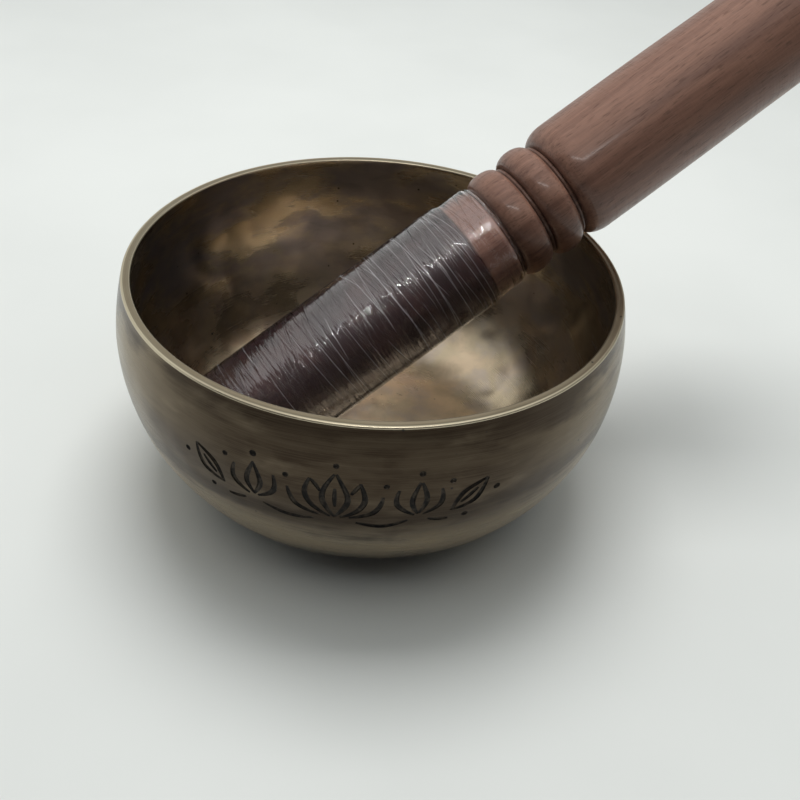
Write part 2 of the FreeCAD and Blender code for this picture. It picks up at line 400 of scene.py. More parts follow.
budStrokes = [
    [(17.6, -4.6), (19.2, -1.8), (19.0, 1.4), (17.6, 5.0)],
    [(17.6, -4.6), (16.0, -1.8), (16.2, 1.4), (17.6, 5.0)],
    [(18.6, -4.8), (21.6, -3.2), (22.8, 0.0), (22.0, 3.0)],
    [(16.6, -4.8), (13.6, -3.2), (12.4, 0.0), (13.2, 3.0)],
]

leafStrokes = [
    [(25.0, -4.6), (26.0, -0.8), (28.4, 2.0), (32.0, 3.6)],
    [(25.0, -4.6), (28.8, -3.8), (31.2, -0.8), (32.0, 3.6)],
    [(26.8, -2.6), (28.4, -0.9), (30.0, 1.2)],
    [(4.6, -8.0), (8.4, -8.9), (12.2, -8.5), (15.6, -6.6)],
    [(19.8, -6.8), (22.0, -7.6), (24.2, -7.4)],
]

centreStroke = [(0.05, -2.8), (0, 0.2), (0.05, 2.8)]

dotMarks = [(0, 8.8), (10.4, 4.2), (17.6, 7.4), (24.2, 4.6), (34.6, 0.2), (28.2, -7.0)]


def onBowl(across, up, lift):
    # a place on the bowl's outside from its distances across and up the band
    height = bandSizes["centreHeight"] + up * mm
    radius = bowlSide(bowlSizes, height) + lift
    turn = math.radians(bandSizes["centreTurn"]) + across * mm / bowlSizes["rimRadius"]
    return Vector((radius * math.sin(turn), -radius * math.cos(turn), height))


def addStroke(curves, points, chance):
    spline = curves.splines.new("NURBS")
    spline.points.add(len(points) - 1)
    wobble = bandSizes["wobble"]
    for index, (across, up) in enumerate(points):
        share = index / (len(points) - 1)
        across += chance.uniform(-wobble, wobble)
        up += chance.uniform(-wobble, wobble)
        place = onBowl(across, up, bandSizes["lift"])
        spline.points[index].co = (*place, 1)
        # thin where the chisel goes in and out
        spline.points[index].radius = 0.55 + 0.5 * math.sin(math.pi * min(1, share * 1.15)) ** 0.5
    spline.order_u = 3
    spline.use_endpoint_u = True
    spline.resolution_u = 7


def makeChiselCuts(grooveMaterial):
    chance = random.Random(5)
    curves = bpy.data.curves.new("chiselCuts", "CURVE")
    curves.dimensions = "3D"
    curves.bevel_depth = bandSizes["chisel"]
    curves.bevel_resolution = 2
    curves.use_fill_caps = True
    half = lotusStrokes + budStrokes + leafStrokes
    mirrored = [[(-across, up) for across, up in stroke] for stroke in half]
    for points in half + mirrored + [centreStroke]:
        addStroke(curves, points, chance)
    cuts = bpy.data.objects.new("chiselCuts", curves)
    bpy.context.scene.collection.objects.link(cuts)
    pick(cuts)
    bpy.ops.object.convert(target="MESH")
    cuts = bpy.context.object
    cuts.data.materials.clear()
    cuts.data.materials.append(grooveMaterial)
    dots = []
    for across, up in dotMarks + [(-across, up) for across, up in dotMarks[1:]]:
        bpy.ops.mesh.primitive_ico_sphere_add(
            subdivisions=2, radius=chance.uniform(*bandSizes["dots"]),
            location=onBowl(across, up, bandSizes["dotLift"]))
        dots.append(bpy.context.object)
        bpy.context.object.data.materials.append(grooveMaterial)
    return cuts, dots


def carveBowl(piece, grooveMaterial):
    cuts, dots = makeChiselCuts(grooveMaterial)
    deselectAll()
    for dot in dots:
        dot.select_set(True)
    cuts.select_set(True)
    bpy.context.view_layer.objects.active = cuts
    bpy.ops.object.join()
    carving = piece.modifiers.new("carving", "BOOLEAN")
    carving.operation = "DIFFERENCE"
    carving.solver = "EXACT"
    carving.use_self = True
    carving.material_mode = "TRANSFER"
    carving.object = cuts
    applyModifier(piece, carving)
    bpy.data.objects.remove(cuts, do_unlink=True)


bronze = {
    "bright": (0.50, 0.385, 0.24),
    "clean": (0.42, 0.34, 0.24),
    "olive": (0.27, 0.215, 0.145),
    "brown": (0.085, 0.064, 0.046),
    "smoke": (0.034, 0.030, 0.030),
    # painted shade for the outside's front, the side that faces the dim open front
    "front": (0.040, 0.027, 0.018),
    "wall": (0.44, 0.39, 0.30),          # inside
    "wallGold": (0.46, 0.405, 0.315),
    "tarnish": (0.235, 0.23, 0.275),
    "soot": (0.095, 0.088, 0.10),
    "bottom": (0.64, 0.52, 0.36),
    "peach": (0.78, 0.60, 0.42),
    "mauve": (0.55, 0.46, 0.43),
    "stain": (0.20, 0.15, 0.10),
    "lip": (0.385, 0.322, 0.23),
    "edge": (0.80, 0.70, 0.52),
    "cut": (0.012, 0.010, 0.009),        # chiselled grooves
    "cutWorn": (0.06, 0.045, 0.03),
}

# how the outside darkens and clears from its foot up
outsideBands = [
    (0.02, "brown"), (0.12, "olive"), (0.26, "bright"), (0.44, "clean"),
    (0.56, "brown"), (0.72, "olive"), (0.86, "olive"), (0.97, "brown"),
]


def bronzeShader(name, streakSize):
    # what every bronze surface shares: brushing round the bowl and its hairlines
    material, tree, shader = newMaterial(name)
    place = addNode(tree, "ShaderNodeTexCoord").outputs["Object"]
    streaks = useGroup(tree, ringLines, Place=place, Across=streakSize, Along=14.0, Detail=5.0)["Mask"]
    hairs = useGroup(tree, ringLines, Place=place, Across=5200.0, Along=55.0, Detail=3.0)["Mask"]
    shader.inputs["Metallic"].default_value = 1.0
    return material, tree, shader, place, streaks, hairs


def finishBronze(tree, shader, place, hairs, colour, dark, roughness, scratch, dentBump, hairRough=0.05):
    # sooty pinholes, duller where it is dark, hairlines and soft dents
    pits = addNode(tree, "ShaderNodeTexVoronoi", {"Vector": place, "Scale": 260.0, "Randomness": 1.0})
    speck = mathNode(tree, "MULTIPLY", spread(tree, pits.outputs["Distance"], 0.10, 0.05),
                     spread(tree, pits.outputs["Color"], 0.72, 0.80))
    colour = mixColours(tree, speck, colour, bronze["smoke"])
    tree.links.new(colour, shader.inputs["Base Color"])
    rough = mathNode(tree, "ADD", roughness, mathNode(tree, "MULTIPLY", dark, 0.10))
    rough = mathNode(tree, "ADD", rough, spread(tree, hairs, 0.3, 0.7, -hairRough, hairRough))
    tree.links.new(rough, shader.inputs["Roughness"])
    brushed = addNode(tree, "ShaderNodeBump", {"Height": hairs, "Strength": scratch, "Distance": 0.012 * mm})
    dented = addNode(tree, "ShaderNodeBump", {
        "Height": addNoise(tree, place, 95.0, 1.0), "Strength": dentBump, "Distance": 1.0 * mm,
        "Normal": brushed.outputs[0]})
    tree.links.new(dented.outputs[0], shader.inputs["Normal"])


def makeOutside():
    # darkened in uneven level bands; across the front, the side that faces the dim open front, a darker brown
    # is painted in as painted shade
    material, tree, shader, place, streaks, hairs = bronzeShader("bronzeOutside", 700.0)
    parts = splitPlace(tree, place)
    broad = addPatches(tree, place, 0.03, 1.6, 2.0, 0.3, 0.7)
    fine = addPatches(tree, place, 0.012, 3.0, 9.0, 0.35, 0.7)
    drift = mathNode(tree, "ADD", mathNode(tree, "MULTIPLY", broad, 0.16),
                     mathNode(tree, "MULTIPLY", fine, 0.05))
    level = mathNode(tree, "ADD", mathNode(tree, "DIVIDE", parts[2], bowlSizes["height"]), drift)
    level = mathNode(tree, "ADD", level, spread(tree, streaks, 0.3, 0.7, -0.145, -0.085))
    ramp = addNode(tree, "ShaderNodeValToRGB", {0: level})
    stops = ramp.color_ramp.elements
    while len(stops) < len(outsideBands):
        stops.new(0.5)
    for stop, (spot, shade) in zip(stops, outsideBands):
        stop.position = spot
        stop.color = (*bronze[shade], 1)
    # painted shade: the front of the outside, above its lowest bands, is mixed towards the dark front colour
    front = spread(tree, parts[1], -0.026, -0.062)
    upper = spread(tree, parts[2], 0.022, 0.034)
    shade = mathNode(tree, "MULTIPLY", mathNode(tree, "MULTIPLY", front, upper),
                     spread(tree, fine, 0.0, 1.0, 0.90, 0.99))
    colour = mixColours(tree, shade, ramp.outputs[0], bronze["front"])
    patch = addPatches(tree, place, 0.026, 3.4, 6.0, 0.52, 0.74)
    colour = mixColours(tree, mathNode(tree, "MULTIPLY", patch, 0.17), colour, bronze["clean"])
    colour = mixColours(tree, spread(tree, hairs, 0.35, 0.7, 0.0, 0.07), colour, bronze["clean"])
    finishBronze(tree, shader, place, hairs, colour, shade, 0.27, 0.5, 0.22)
    return material


def makeInside():
    # smoky, with soft level patches and a rubbed warm bottom
    material, tree, shader, place, streaks, hairs = bronzeShader("bronzeInside", 500.0)
    parts = splitPlace(tree, place)
    broad = addPatches(tree, place, 0.024, 2.2, 11.0, 0.40, 0.62)
    small = addPatches(tree, place, 0.010, 2.0, 18.0, 0.45, 0.75)
    gold = addPatches(tree, place, 0.018, 1.5, 5.0, 0.46, 0.66)
    wall = mixColours(tree, gold, bronze["wall"], bronze["wallGold"])
    wall = mixColours(tree, spread(tree, streaks, 0.35, 0.7, 0.0, 0.12), wall, bronze["olive"])
    side = spread(tree, parts[0], 0.03, -0.045)
    depth = mathNode(tree, "MULTIPLY", broad, spread(tree, side, 0.0, 1.0, 0.75, 0.95))
    wall = mixColours(tree, depth, wall, bronze["tarnish"])
    wall = mixColours(tree, mathNode(tree, "MULTIPLY", small, 0.30), wall, bronze["soot"])
    peach = addPatches(tree, place, 0.014, 1.0, 31.0, 0.35, 0.62)
    mauve = addPatches(tree, place, 0.009, 1.0, 25.0, 0.45, 0.7)
    bottom = mixColours(tree, peach, bronze["bottom"], bronze["peach"])
    bottom = mixColours(tree, mathNode(tree, "MULTIPLY", mauve, 0.5), bottom, bronze["mauve"])
    bottom = mixColours(tree, mathNode(tree, "MULTIPLY", small, 0.3), bottom, bronze["stain"])
    low = spread(tree, parts[2], 0.038, 0.007)
    colour = mixColours(tree, low, wall, bottom)
    finishBronze(tree, shader, place, hairs, colour, depth, 0.25, 0.06, 0.34, 0.02)
    return material


def makeLip():
    # flat filed land, rubbed bright on its two edges
    material, tree, shader, place, streaks, hairs = bronzeShader("bronzeLip", 2600.0)
    radius = axisRadius(tree, splitPlace(tree, place))
    middleRadius = bowlSizes["rimRadius"] - bowlSizes["lipMiddle"]
    offset = mathNode(tree, "ABSOLUTE", mathNode(tree, "SUBTRACT", radius, middleRadius))
    rubbed = spread(tree, offset, 0.62 * mm, 0.80 * mm)
    rubbed = mathNode(tree, "MULTIPLY", rubbed, spread(tree, streaks, 0.3, 0.6, 0.35, 0.9))
    worn = addPatches(tree, place, 0.012, 1.0, 3.0, 0.35, 0.7)
    colour = mixColours(tree, spread(tree, streaks, 0.3, 0.7, 0.0, 0.5), bronze["lip"], bronze["olive"])
    colour = mixColours(tree, mathNode(tree, "MULTIPLY", worn, 0.3), colour, bronze["olive"])
    middle = spread(tree, offset, 0.5 * mm, 0.15 * mm)
    colour = mixColours(tree, mathNode(tree, "MULTIPLY", middle, 0.45), colour, bronze["olive"])
    colour = mixColours(tree, rubbed, colour, bronze["edge"])
    finishBronze(tree, shader, place, hairs, colour, worn, 0.30, 0.6, 0.0)
    return material


def makeGroove():
    # soot left in the cuts
    material, tree, shader = newMaterial("chiselGroove")
    place = addNode(tree, "ShaderNodeTexCoord").outputs["Object"]
    patch = addPatches(tree, place, 0.0016, 1.0, 0.0, 0.35, 0.8)
    colour = mixColours(tree, patch, bronze["cut"], bronze["cutWorn"])
    tree.links.new(colour, shader.inputs["Base Color"])
    tree.links.new(spread(tree, patch, 0, 1, 0.65, 0.4), shader.inputs["Roughness"])
    shader.inputs["Metallic"].default_value = 0.6
    return material


def buildBowl():
    piece = turnPiece("bowlShell", bowlProfile(bowlSizes), bowlSizes["steps"])
    groove = makeGroove()
    for material in (makeOutside(), makeInside(), makeLip(), groove):
        piece.data.materials.append(material)
    lipLine = bowlSizes["height"] - bowlSizes["lipLine"]
    for face in piece.data.polygons:
        if face.center.z > lipLine:
            face.material_index = 2
        elif onInside(face.center, face.normal):
            face.material_index = 1
    hammerBowl(piece, bowlSizes, hammerMarks)
    print("bowl turned and hammered")
    carveBowl(piece, groove)
    pick(piece)
    bpy.ops.object.shade_smooth_by_angle(angle=math.radians(32))
    print("bowl carved", len(piece.data.polygons), "faces")
    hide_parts("bowl")
    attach(piece, "bowl")
    return piece


bowlShell = buildBowl()


# mallet

malletPose = {
    "tip": Vector((-41.23, -19.10, 13.23)) * mm,
    "lean": 30.98,               # degrees above level
    "heading": 26.5,             # degrees round from +X towards +Y
}

malletSizes = {
    "core": 12.9 * mm,
    "tipRound": 4.0 * mm,
    "leatherStart": 4.0 * mm,
    "leatherEnd": 84.6 * mm,
    "leather": 14.95 * mm,
    "leatherEdge": 0.8 * mm,
    "collar": 14.4 * mm,
    "collarRound": 1.3 * mm,
    "collarEnd": 93.2 * mm,
    "neckEnd": 94.5 * mm,
    "beadOne": 15.15 * mm,
    "beadOneEnd": 103.7 * mm,
    "beadTwo": 15.5 * mm,
    "beadTwoEnd": 113.3 * mm,
    "groove": 12.9 * mm,
    "fillet": 1.1 * mm,          # ring left standing in each groove
    "filletSink": 0.15 * mm,
    "filletRise": 0.3 * mm,
    "filletCrown": 0.35 * mm,
    "filletChamfer": 0.12 * mm,
    "fit": 0.05 * mm,            # clearance of the leather on the wood
    "gripStart": 119.8 * mm,
    "grip": 16.0 * mm,
    "gripSwell": 0.12 * mm,
    "end": 197.8 * mm,
    "endRadius": 15.4 * mm,
    "endRound": 7.0 * mm,
}

malletTurn = Euler((0, math.radians(90 - malletPose["lean"]), 0)).to_matrix().to_4x4()
malletPlace = (Matrix.Translation(malletPose["tip"])
               @ Matrix.Rotation(math.radians(malletPose["heading"]), 4, "Z") @ malletTurn)


def layDown(piece):
    # from upright at the origin to where the mallet leans in the bowl
    pick(piece)
    piece.matrix_world = malletPlace
    bpy.ops.object.transform_apply(location=True, rotation=True, scale=True)


def alongMallet(tree):
    # object coordinates turned so that Z runs up the mallet from its tip
    place = addNode(tree, "ShaderNodeTexCoord").outputs["Object"]
    turned = addNode(tree, "ShaderNodeMapping", {
        "Vector": place,
        "Location": malletPlace.to_translation(),
        "Rotation": malletPlace.to_euler()}, vector_type="TEXTURE")
    return turned.outputs[0]


def bulgePoints(start, end, low, crown, spacing, softness):
    # a bead from groove to groove, softened where it meets them
    count = round((end - start) / spacing)
    points = []
    for i in range(count + 1):
        share = i / count
        lift = (1 - abs(2 * share - 1) ** 2.1) ** softness
        points.append((low + (crown - low) * lift, start + (end - start) * share))
    return points


def filletPoints(s, station):
    # narrow square ring left standing in a groove
    half = s["fillet"] / 2
    shoulder = half - s["filletChamfer"]
    foot, rise = s["groove"] - s["filletSink"], s["groove"] + s["filletRise"]
    return [(foot, station - half), (rise, station - shoulder), (s["groove"] + s["filletCrown"], station),
            (rise, station + shoulder), (foot, station + half)]


def woodProfile(s):
    fine = 0.35 * mm
    chamfer = 0.3 * mm
    collarStart = s["leatherEnd"] + s["fit"]
    collarTurn = s["collarEnd"] - s["collarRound"]
    neck = s["collar"] - s["collarRound"]
    shoulderTop = s["gripStart"]
    grip = []
    count = 150
    for i in range(count + 1):
        share = i / count
        station = shoulderTop + (s["end"] - s["endRound"] - shoulderTop) * share
        taper = s["grip"] + (s["endRadius"] - s["grip"]) * share
        grip.append((taper + s["gripSwell"] * math.sin(math.pi * min(1, share * 1.4)), station))
    half = s["fillet"] / 2
    shoulderStart = s["beadTwoEnd"] + half
    shoulder = bulgePoints(shoulderStart, 2 * shoulderTop - shoulderStart, s["groove"], s["grip"], fine, 0.55)
    shoulder = shoulder[:len(shoulder) // 2]
    endFlat = s["endRadius"] - s["endRound"]
    return joinRuns(
        linePoints((0, 0), (s["core"] - s["tipRound"], 0), 1.5 * mm),
        arcPoints((s["core"] - s["tipRound"], s["tipRound"]), s["tipRound"], -math.pi / 2, 0, 2 * fine),
        linePoints((s["core"], s["tipRound"]), (s["core"], collarStart), 8 * mm),
        linePoints((s["core"], collarStart), (s["collar"] - chamfer, collarStart), fine),
        linePoints((s["collar"], collarStart + chamfer), (s["collar"], collarTurn), 2 * fine),
        arcPoints((neck, collarTurn), s["collarRound"], 0, math.pi / 2, fine),
        linePoints((neck, s["collarEnd"]), (neck, s["neckEnd"]), fine),
        bulgePoints(s["neckEnd"], s["beadOneEnd"] - half, s["groove"], s["beadOne"], fine, 0.5),
        filletPoints(s, s["beadOneEnd"]),
        bulgePoints(s["beadOneEnd"] + half, s["beadTwoEnd"] - half, s["groove"], s["beadTwo"], fine, 0.5),
        filletPoints(s, s["beadTwoEnd"]),
        shoulder,
        grip,
        arcPoints((endFlat, s["end"] - s["endRound"]), s["endRound"], 0, math.pi / 2, 3 * fine),
        linePoints((endFlat, s["end"]), (0, s["end"]), 1.5 * mm),
    )


wood = {
    "light": (0.345, 0.187, 0.131),
    "middle": (0.225, 0.115, 0.081),
    "dark": (0.10, 0.044, 0.031),
    # pore colour, also painted into the grooves as shade
    "poreAndGrooveShade": (0.03, 0.014, 0.010),
}


def makeWood():
    material, tree, shader = newMaterial("turnedWood")
    place = alongMallet(tree)

    def grain(length, scale, detail, rough, bend=0.0):
        along = addNode(tree, "ShaderNodeMapping", {"Vector": place, "Scale": (1.0, 1.0, length)})
        return addNoise(tree, along.outputs[0], scale, detail, rough, bend)

    bands = grain(0.05, 300.0, 4.0, 0.6, 0.5)
    fibres = grain(0.05, 2200.0, 3.0, 0.7)
    dashes = grain(0.10, 2700.0, 1.0, 0.5)
    cloud = addPatches(tree, place, 0.02, 0.5, 0.0, 0.35, 0.7)
    colour = mixColours(tree, spread(tree, bands, 0.34, 0.64), wood["dark"], wood["light"])
    colour = mixColours(tree, 0.6, colour, wood["middle"])
    colour = mixColours(tree, spread(tree, fibres, 0.38, 0.68, 0.0, 0.35), colour, wood["dark"])
    colour = mixColours(tree, mathNode(tree, "MULTIPLY", cloud, 0.35), colour, wood["middle"])
    pores = spread(tree, dashes, 0.58, 0.70)
    colour = mixColours(tree, mathNode(tree, "MULTIPLY", pores, 0.35), colour, wood["poreAndGrooveShade"])
    radius = axisRadius(tree, splitPlace(tree, place))
    groove = malletSizes["groove"]
    # painted shade: the grooves and the neck, the recesses between collar and beads, are darkened towards the
    # pore colour
    deep = spread(tree, radius, groove + 1.0 * mm, groove - 0.2 * mm, 0.0, 0.6)
    colour = mixColours(tree, deep, colour, wood["poreAndGrooveShade"])
    tree.links.new(colour, shader.inputs["Base Color"])
    rings = useGroup(tree, ringLines, Place=place, Across=1500.0, Along=12.0, Detail=4.0)["Mask"]
    rough = mathNode(tree, "ADD", spread(tree, rings, 0.3, 0.7, 0.36, 0.5),
                     mathNode(tree, "MULTIPLY", pores, 0.2))
    tree.links.new(rough, shader.inputs["Roughness"])
    ringBump = addNode(tree, "ShaderNodeBump", {"Height": rings, "Strength": 0.9, "Distance": 0.06 * mm})
    poreBump = addNode(tree, "ShaderNodeBump", {
        "Height": pores, "Strength": 0.5, "Distance": 0.05 * mm, "Normal": ringBump.outputs[0]},
        invert=True)
    tree.links.new(poreBump.outputs[0], shader.inputs["Normal"])
    shader.inputs["Specular IOR Level"].default_value = 0.35
    shader.inputs["Coat Weight"].default_value = 0.25
    shader.inputs["Coat Roughness"].default_value = 0.16
    return material


def buildWood():
    piece = turnPiece("turnedHandle", woodProfile(malletSizes), 160)
    piece.data.materials.append(makeWood())
    layDown(piece)
    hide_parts("mallet_wood")
    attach(piece, "mallet")
    print("wood turned", len(piece.data.polygons), "faces")
    return piece


turnedHandle = buildWood()


# leather

leatherColours = {
    "face": (0.022, 0.0075, 0.007),
    "worn": (0.046, 0.016, 0.013),
}


def makeLeather():
    material, tree, shader = newMaterial("maroonLeather")
    place = alongMallet(tree)
    grain = addNode(tree, "ShaderNodeTexVoronoi", {"Vector": place, "Scale": 2200.0})
    worn = addPatches(tree, place, 0.009, 1.0, 0.0, 0.42, 0.7)
    colour = mixColours(tree, worn, leatherColours["face"], leatherColours["worn"])
    tree.links.new(colour, shader.inputs["Base Color"])
    tree.links.new(spread(tree, grain.outputs["Distance"], 0.1, 0.7, 0.36, 0.5), shader.inputs["Roughness"])
    bump = addNode(tree, "ShaderNodeBump", {
        "Height": grain.outputs["Distance"], "Strength": 0.3, "Distance": 0.08 * mm})
    tree.links.new(bump.outputs[0], shader.inputs["Normal"])
    return material


def buildLeather():
    # sleeve with rounded ends, a close fit on the core
    s = malletSizes
    edge = s["leatherEdge"]
    inner = s["core"] + s["fit"]
    outer = s["leather"]
    profile = joinRuns(
        [(inner, s["leatherStart"])],
        linePoints((inner, s["leatherStart"]), (outer - edge, s["leatherStart"]), 0.6 * mm),
        arcPoints((outer - edge, s["leatherStart"] + edge), edge, -math.pi / 2, 0, 0.25 * mm),
        linePoints((outer, s["leatherStart"] + edge), (outer, s["leatherEnd"] - edge), 1.0 * mm),
        arcPoints((outer - edge, s["leatherEnd"] - edge), edge, 0, math.pi / 2, 0.25 * mm),
        linePoints((outer - edge, s["leatherEnd"]), (inner, s["leatherEnd"]), 0.6 * mm),
        linePoints((inner, s["leatherEnd"]), (inner, s["leatherStart"]), 12 * mm),
    )
    piece = turnPiece("leatherWrap", profile, 160)
    piece.data.materials.append(makeLeather())
    layDown(piece)
    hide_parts("mallet_leather")
    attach(piece, "mallet")
    print("leather wrapped", len(piece.data.polygons), "faces")
    return piece


leatherWrap = buildLeather()


# clear film

filmSizes = {
    "thickness": 0.15 * mm,
    "gap": 0.06 * mm,
    "tuck": 0.8 * mm,
    "foot": 0.5 * mm,
    "roll": 0.36 * mm,           # radius of the rolled edge round the neck
    "crease": 0.14 * mm,         # height of a crease
    "creaseHalf": 0.14 * mm,
    "ripple": 0.016 * mm,
    "looseGaps": (0.9 * mm, 3.6 * mm),
    "tightGaps": (0.35 * mm, 1.1 * mm),
    "tightFrom": 58.0 * mm,      # from this station on the creases crowd together
    "slant": 1.6 * mm,
    "stillEnds": 8.0 * mm,       # the slant fades out over this length at each end
    "spacing": 0.3 * mm,
    "steps": 144,
}


def makeFilm():
    # clear stretch film in several turns: glossy, finely creased round the mallet
    material, tree, shader = newMaterial("clearFilm")
    place = alongMallet(tree)

    def creases(tilt, across, along, low, high):
        tilted = addNode(tree, "ShaderNodeMapping", {"Vector": place, "Rotation": (tilt, tilt * 0.7, 0)})
        drawn = addNode(tree, "ShaderNodeMapping", {
            "Vector": tilted.outputs[0], "Scale": (along, along, across)})
        return spread(tree, addNoise(tree, drawn.outputs[0], 1.0, 1.0), low, high)

    threads = mathNode(tree, "ADD", creases(0.09, 1100.0, 30.0, 0.62, 0.70),
                       creases(-0.14, 1300.0, 38.0, 0.64, 0.72))
    ripple = creases(0.03, 1000.0, 60.0, 0.2, 0.8)
    bump = addNode(tree, "ShaderNodeBump", {"Height": threads, "Strength": 0.8, "Distance": 0.09 * mm})
    ripples = addNode(tree, "ShaderNodeBump", {
        "Height": ripple, "Strength": 0.75, "Distance": 0.10 * mm, "Normal": bump.outputs[0]})
    tree.links.new(ripples.outputs[0], shader.inputs["Normal"])
    tree.links.new(spread(tree, threads, 0, 1, 0.025, 0.10), shader.inputs["Roughness"])
    shader.inputs["Base Color"].default_value = (0.97, 0.95, 0.97, 1)
    shader.inputs["Transmission Weight"].default_value = 1.0
    shader.inputs["IOR"].default_value = 1.7
    output = tree.nodes["Material Output"]
    passing = addNode(tree, "ShaderNodeBsdfTransparent")
    ray = addNode(tree, "ShaderNodeLightPath")
    both = addNode(tree, "ShaderNodeMixShader")
    tree.links.new(ray.outputs["Is Shadow Ray"], both.inputs[0])
    tree.links.new(shader.outputs[0], both.inputs[1])
    tree.links.new(passing.outputs[0], both.inputs[2])
    tree.links.new(both.outputs[0], output.inputs["Surface"])
    return material


def addCreases(start, end):
    # the straight run with a small ridge at each crease, closer together near the collar
    chance = random.Random(11)
    radius, station = start
    points = [start]
    half = filmSizes["creaseHalf"]
    while True:
        near = filmSizes["tightGaps"] if station > filmSizes["tightFrom"] else filmSizes["looseGaps"]
        crest = station + chance.uniform(*near)
        if crest > end - 2 * half:
            break
        points += linePoints((radius, station), (radius, crest - half), filmSizes["spacing"])[1:]
        points += [(radius + filmSizes["crease"] * chance.uniform(0.4, 1.0), crest), (radius, crest + half)]
        station = crest + half
    return points + linePoints((radius, station), (radius, end), filmSizes["spacing"])[1:]


def filmFace(offset, spacing, creased=False):
    # one face of the film, from its tuck at the tip to the collar's shoulder
    s = malletSizes
    edge = s["leatherEdge"]
    collarTurn = s["collarEnd"] - s["collarRound"]
    neck = s["collar"] - s["collarRound"]
    turn = s["collarRound"] + offset
    lastAngle = math.asin(filmSizes["foot"] / turn)
    start = s["leatherStart"] - offset
    straightStart = (s["leather"] + offset, s["leatherStart"] + edge)
    straightEnd = (s["leather"] + offset, s["leatherEnd"] - edge)
    collarStart = (s["collar"] + offset, s["leatherEnd"] + edge)
    if creased:
        straight = addCreases(straightStart, straightEnd[1])
    else:
        straight = linePoints(straightStart, straightEnd, spacing)
    return joinRuns(
        [(s["core"] + offset, s["leatherStart"] - filmSizes["tuck"]), (s["core"] + offset, start)],
        [(s["leather"] - edge, start)],
        arcPoints((s["leather"] - edge, s["leatherStart"] + edge), edge + offset, -math.pi / 2, 0, spacing),
        straight,
        linePoints(straightEnd, collarStart, spacing),
        linePoints(collarStart, (s["collar"] + offset, collarTurn), spacing),
        arcPoints((neck, collarTurn), turn, 0, math.pi / 2 - lastAngle, spacing / 2),
    )


def creaseFilm(piece):
    # each ridge fades in and out round the mallet, and leans a little
    smooth = malletSizes["leather"] + filmSizes["gap"] + filmSizes["thickness"]
    first, last = malletSizes["leatherStart"], malletSizes["leatherEnd"]
    for vertex in piece.data.vertices:
        place = vertex.co
        radial = math.hypot(place.x, place.y)
        around = Vector((place.x / radial, place.y / radial, 0))
        extra = radial - smooth
        if extra > 0.002 * mm:
            fade = 0.5 + 1.5 * noise.noise(Vector((around.x * 1.5, around.y * 1.5, place.z * 900)))
            radial = smooth + extra * min(1, max(0, fade))
        if extra > -0.01 * mm:
            wave = noise.noise(Vector((around.x * 2.5, around.y * 2.5, place.z * 850)))
            radial += filmSizes["ripple"] * wave
        if radial > malletSizes["leather"] + 0.5 * filmSizes["gap"]:
            inEnds = min(1, (place.z - first) / filmSizes["stillEnds"],
                         max(0, (last - place.z) / filmSizes["stillEnds"]))
            lean = Vector((noise.noise(Vector((0, 3, place.z * 90))),
                           noise.noise(Vector((7, 1, place.z * 90))), 0))
            place.z += filmSizes["slant"] * inEnds * lean.dot(around)
        vertex.co = Vector((around.x * radial, around.y * radial, place.z))


def buildFilm():
    gap = filmSizes["gap"]
    outer = filmFace(gap + filmSizes["thickness"], filmSizes["spacing"], creased=True)
    inner = filmFace(gap, 4 * mm)
    roll = filmSizes["roll"]
    rollCentre = (inner[-1][0] + 0.1 * mm, inner[-1][1] + 1.3 * roll)
    rolled = arcPoints(rollCentre, roll, -1.9, -6.9, roll / 4)
    profile = inner + rolled + outer[::-1] + [inner[0]]
    piece = turnPiece("filmWrap", profile, filmSizes["steps"])
    creaseFilm(piece)
    piece.data.materials.append(makeFilm())
    layDown(piece)
    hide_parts("mallet_film")
    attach(piece, "mallet")
    print("film wrapped", len(piece.data.polygons), "faces")
    return piece


filmWrap = buildFilm()


# threads on the film, painted white as highlight along its creases

threadSizes = {
    "loose": 34,                 # threads along the open part
    "tight": 64,                 # threads crowded at the collar end
    "radius": 0.036 * mm,
    "points": 15,
    "ends": (4.0 * mm, 1.5 * mm),   # kept clear of the leather's two ends
    "crowd": 30.0 * mm,
    "span": (0.7, 2.6),          # how far round each one reaches, in radians
    "slant": 0.10,
    "wave": 0.12 * mm,
    "opacity": 0.8,
    # painted highlight colours of the threads
    "milky": (0.62, 0.60, 0.62),
    "white": (0.92, 0.91, 0.92),
}


def makeCreaseGlintPaint():
    # painted highlight: milky to white, standing for the glints along the film's creases
    material, tree, shader = newMaterial("paintedCreaseGlints")
    place = alongMallet(tree)
    patch = addPatches(tree, place, 0.004, 1.0, 0.0, 0.35, 0.7)
    colour = mixColours(tree, patch, threadSizes["milky"], threadSizes["white"])
    tree.links.new(colour, shader.inputs["Base Color"])
    tree.links.new(spread(tree, patch, 0, 1, 0.35, 0.15), shader.inputs["Roughness"])
    shader.inputs["Alpha"].default_value = threadSizes["opacity"]
    return material


